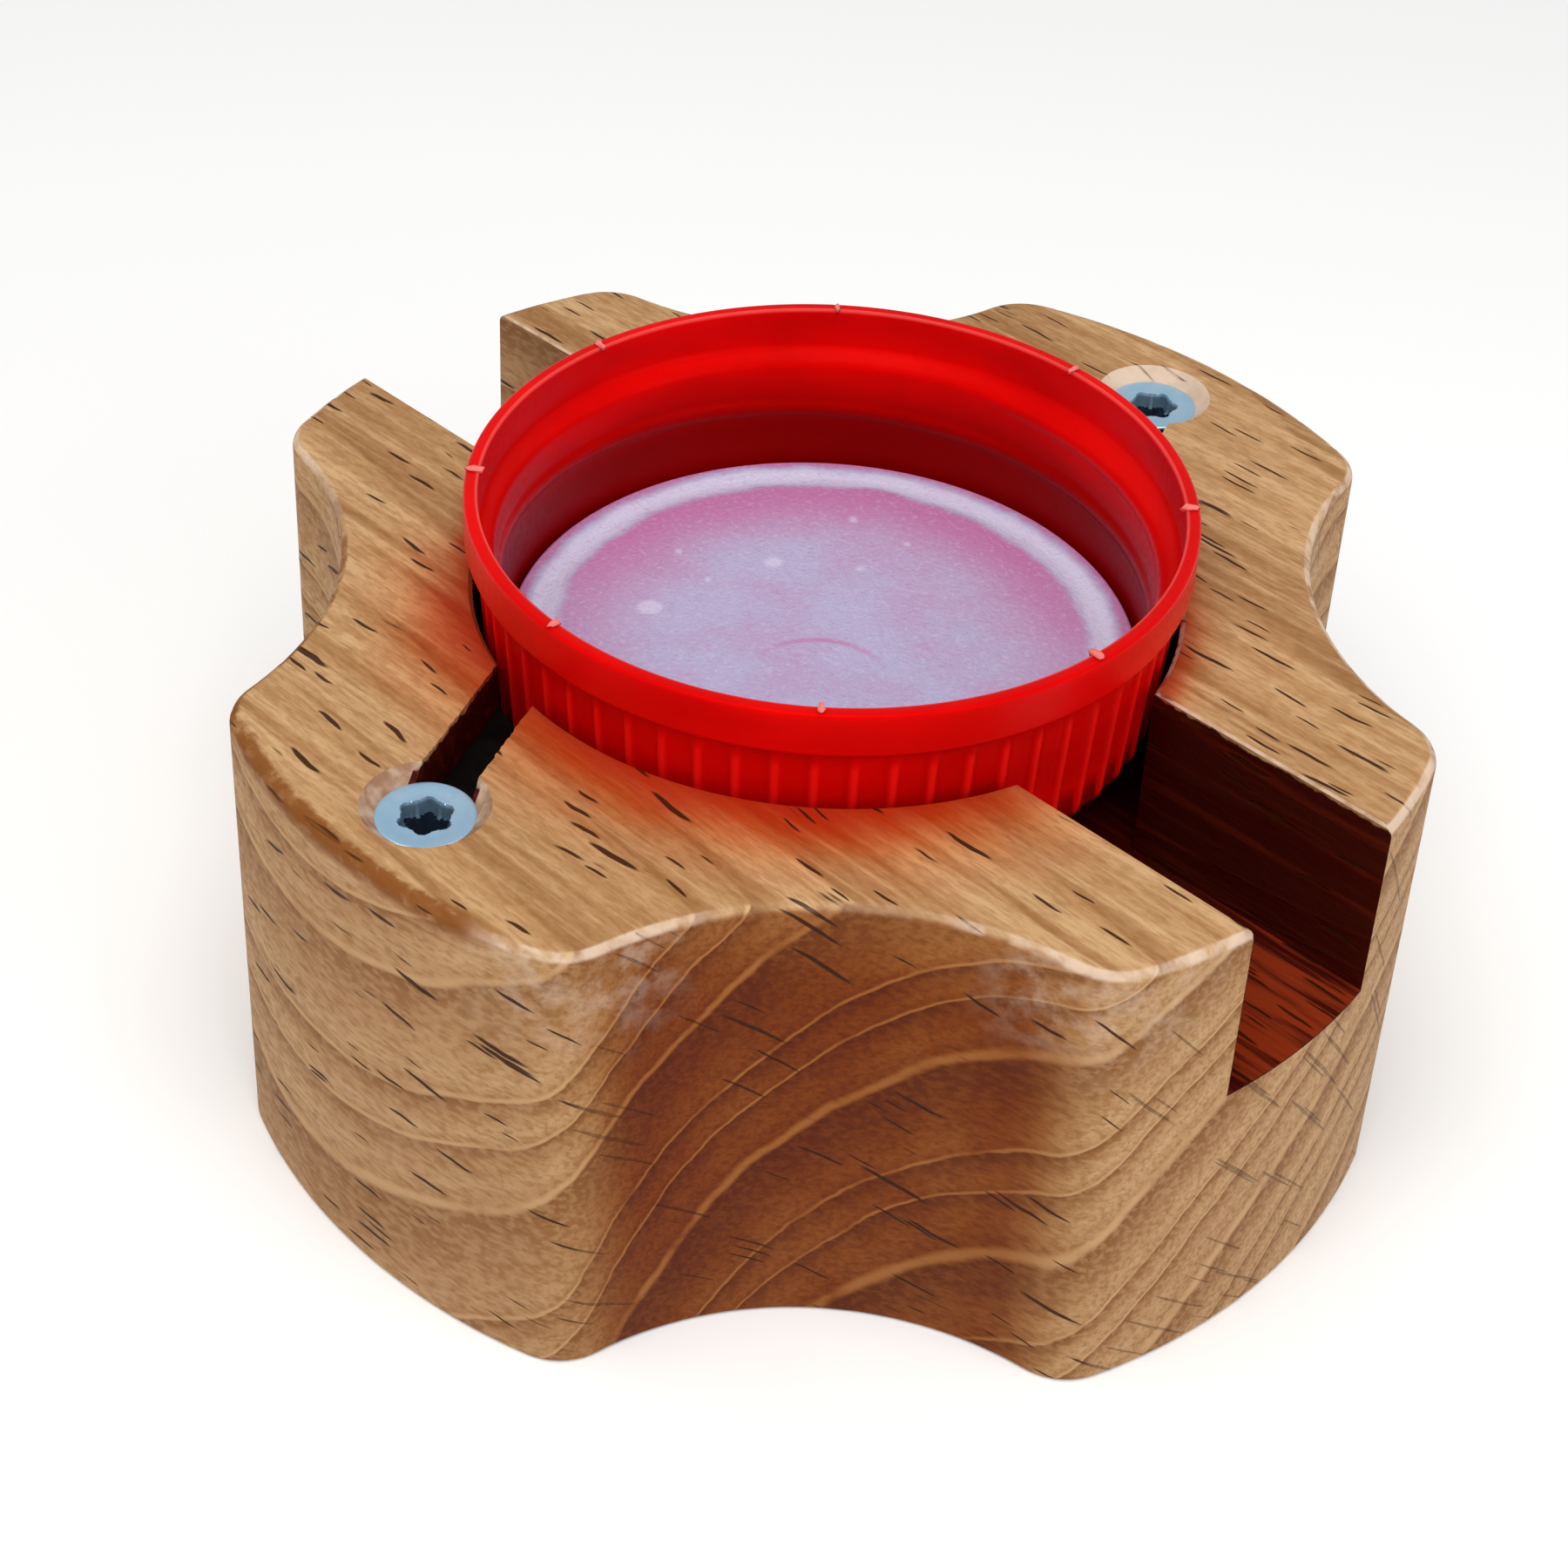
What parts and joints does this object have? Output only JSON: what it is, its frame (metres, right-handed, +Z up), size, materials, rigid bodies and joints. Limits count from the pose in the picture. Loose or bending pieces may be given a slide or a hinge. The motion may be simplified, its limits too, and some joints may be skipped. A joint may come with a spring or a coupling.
{
  "type": "screw cap opener",
  "caption": "Star-shaped beech hand block with a round pocket and a wide slot across it, holding a ribbed red screw cap mouth up.",
  "frame": {"origin": "centre of the block's foot, on the pocket's axis", "axes": "+Z up out of the pocket, X along the wide slot and the grain, Y through the two screws"},
  "size_m": [0.114, 0.114, 0.058],
  "materials": {
    "beech": "sanded, unvarnished, dark flecks along the grain",
    "zinc": "blue zinc plate",
    "pad_rubber": "matt black",
    "cap_red": "satin, slightly translucent red",
    "liner_foam": "fine closed-cell foam"
  },
  "bodies": {
    "block": {"beech_block": "beech", "screw_front": "zinc", "screw_rear": "zinc", "grip_pad_front": "pad_rubber", "grip_pad_rear": "pad_rubber"},
    "cap": {"screw_cap": "cap_red", "cap_liner": "liner_foam"}
  },
  "joints": [
    {"name": "cap_lift", "type": "slide", "parent": "block", "child": "cap", "axis": [0, 0, 1], "range_m": [0, 0.03]}
  ]
}
